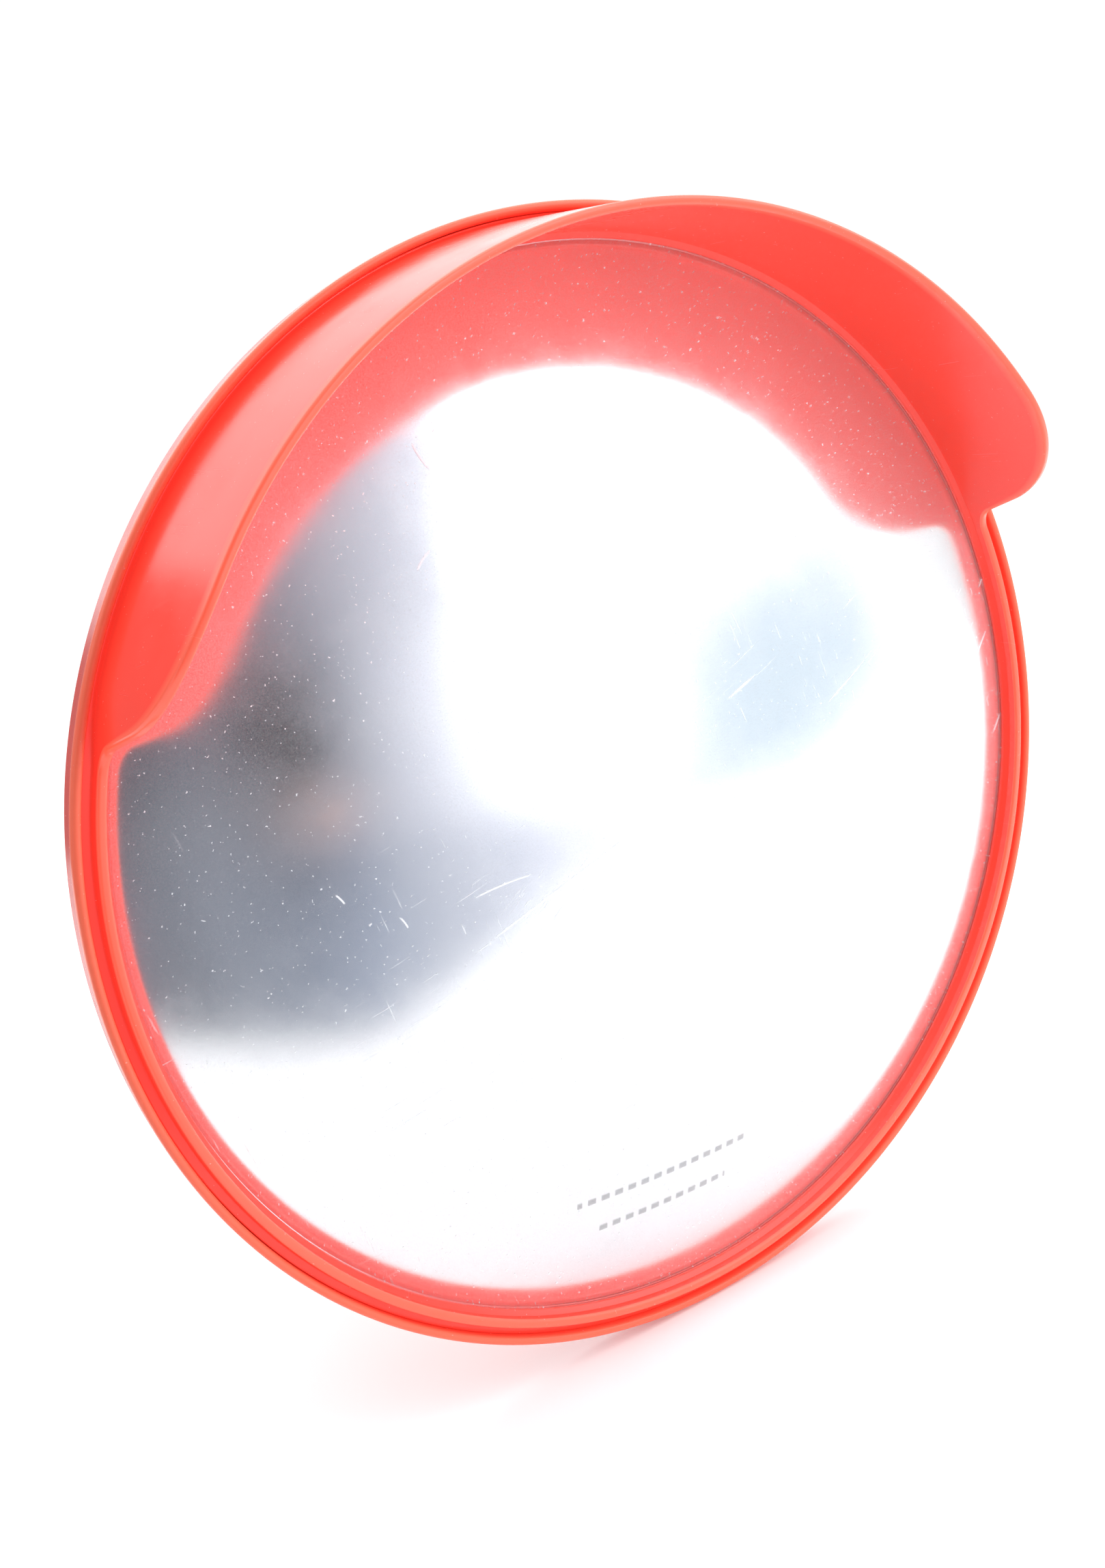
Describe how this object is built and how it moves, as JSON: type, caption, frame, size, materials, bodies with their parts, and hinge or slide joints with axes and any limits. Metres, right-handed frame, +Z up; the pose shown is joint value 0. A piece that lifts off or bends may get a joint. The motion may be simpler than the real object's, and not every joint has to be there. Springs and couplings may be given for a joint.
{
  "type": "traffic convex mirror",
  "caption": "Round convex traffic mirror in a glossy plastic housing with an integral visor, on a pan and tilt bracket with a pole clamp.",
  "frame": {"origin": "centre of the pole clamp, on the pole's axis", "axes": "+Z up along the pole, the mirror faces -Y, +X to the right seen from the front"},
  "size_m": [0.45, 0.309, 0.45],
  "materials": {
    "visor_plastic": "gloss",
    "shell_plastic": "gloss",
    "mirror_coating": "polished",
    "clear_film": "gloss",
    "seal_rubber": "matte",
    "liner_rubber": "matte",
    "galvanised_steel": "satin",
    "clamp_steel": "satin",
    "zinc_fasteners": "satin",
    "nylon": "satin"
  },
  "bodies": {
    "pole_clamp": {"clamp_front": "clamp_steel", "clamp_rear": "clamp_steel", "liner_front": "liner_rubber", "liner_rear": "liner_rubber", "fork_plates": "clamp_steel", "fork_web": "clamp_steel", "clamp_bolts": "zinc_fasteners", "clamp_washers": "zinc_fasteners", "clamp_nuts": "zinc_fasteners", "pan_pivot_bolt": "zinc_fasteners", "pan_pivot_washers": "zinc_fasteners", "pan_pivot_nut": "zinc_fasteners"},
    "swivel": {"swivel_tube": "galvanised_steel", "pan_friction_washers": "nylon", "tilt_friction_washers": "nylon", "tilt_pivot_bolt": "zinc_fasteners", "tilt_pivot_washers": "zinc_fasteners", "tilt_pivot_nut": "zinc_fasteners", "tilt_lock_bolt": "zinc_fasteners", "tilt_lock_washers": "zinc_fasteners", "tilt_lock_nut": "zinc_fasteners"},
    "head": {"mirror_lens": "mirror_coating", "protective_film": "clear_film", "lens_seal": "seal_rubber", "visor_ring": "visor_plastic", "rear_shell": "shell_plastic", "ring_screws": "zinc_fasteners", "backing_plate": "galvanised_steel", "mount_bolts": "zinc_fasteners", "mount_washers": "zinc_fasteners", "mount_nuts": "zinc_fasteners", "mount_plate": "galvanised_steel", "tilt_ear_left": "galvanised_steel", "tilt_ear_right": "galvanised_steel"}
  },
  "joints": [
    {"name": "pan", "type": "hinge", "parent": "pole_clamp", "child": "swivel", "pos_m": [0, -0.0785, 0], "axis": [0, 0, 1], "range_deg": [-30, 30]},
    {"name": "tilt", "type": "hinge", "parent": "swivel", "child": "head", "pos_m": [0, -0.1215, 0], "axis": [1, 0, 0], "range_deg": [-20, 20]}
  ]
}
